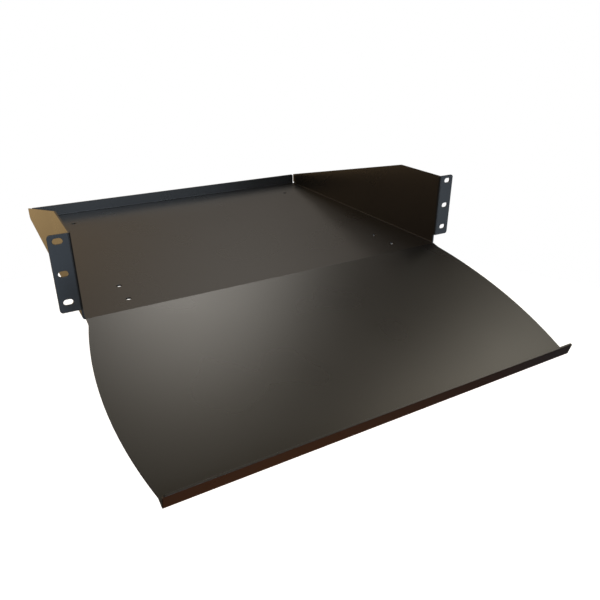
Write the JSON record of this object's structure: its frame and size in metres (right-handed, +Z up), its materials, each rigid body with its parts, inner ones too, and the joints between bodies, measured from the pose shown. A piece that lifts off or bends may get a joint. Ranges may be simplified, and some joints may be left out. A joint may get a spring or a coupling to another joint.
{
  "type": "rack keyboard shelf",
  "caption": "Rack shelf of folded steel sheet with tapering side walls, rack ears, a rear flange and a sloping keyboard tray with bowed sides and a front lip.",
  "frame": {"origin": "centre of the four corner slots, on the rear faces of the rack ears, which seat on the rack rails", "axes": "+X right seen from the front, +Y back into the rack, +Z up"},
  "size_m": [0.4826, 0.5949, 0.1446],
  "materials": {
    "panel_coat": "fine textured satin black powder coat"
  },
  "bodies": {
    "root": {"deck": "panel_coat", "rear_flange": "panel_coat", "left_side_wall": "panel_coat", "right_side_wall": "panel_coat", "left_rack_ear": "panel_coat", "right_rack_ear": "panel_coat", "keyboard_tray": "panel_coat", "front_lip": "panel_coat"}
  },
  "joints": []
}
